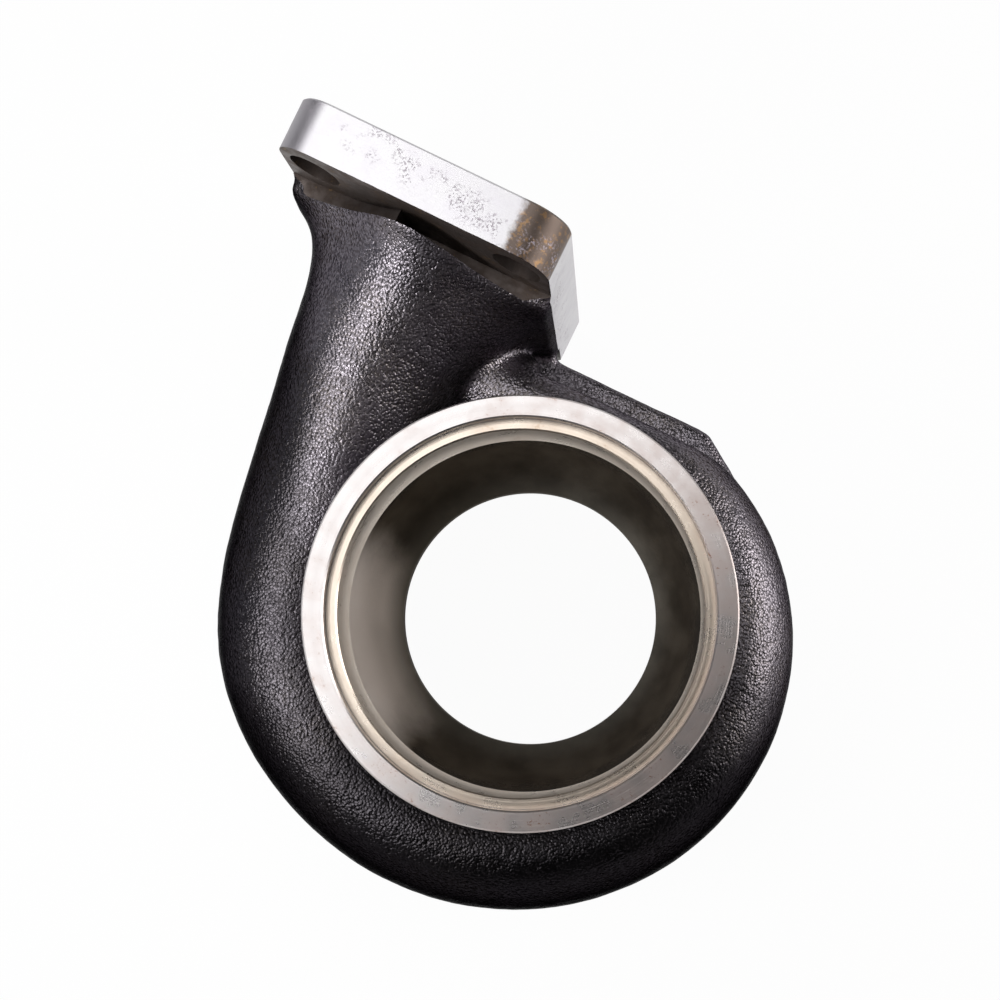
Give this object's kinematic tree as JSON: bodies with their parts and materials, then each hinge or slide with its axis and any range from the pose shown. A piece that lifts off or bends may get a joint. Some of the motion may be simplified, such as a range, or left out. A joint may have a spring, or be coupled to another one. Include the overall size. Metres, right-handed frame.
{
  "type": "turbocharger turbine housing",
  "caption": "Cast iron turbine housing: scroll with a tall neck, bolted rectangular inlet flange, round clamp flange at the outlet and a bolted bearing side.",
  "frame": {"origin": "centre of the bearing bolt circle, on the bearing face", "axes": "+Z along the turbine axis towards the outlet, +Y out of the inlet flange's gasket face"},
  "size_m": [0.1683, 0.1634, 0.104],
  "materials": {
    "cast_iron": "rough sand-cast skin with bare milled and turned faces"
  },
  "bodies": {
    "root": {"turbine_housing": "cast_iron"}
  },
  "joints": []
}
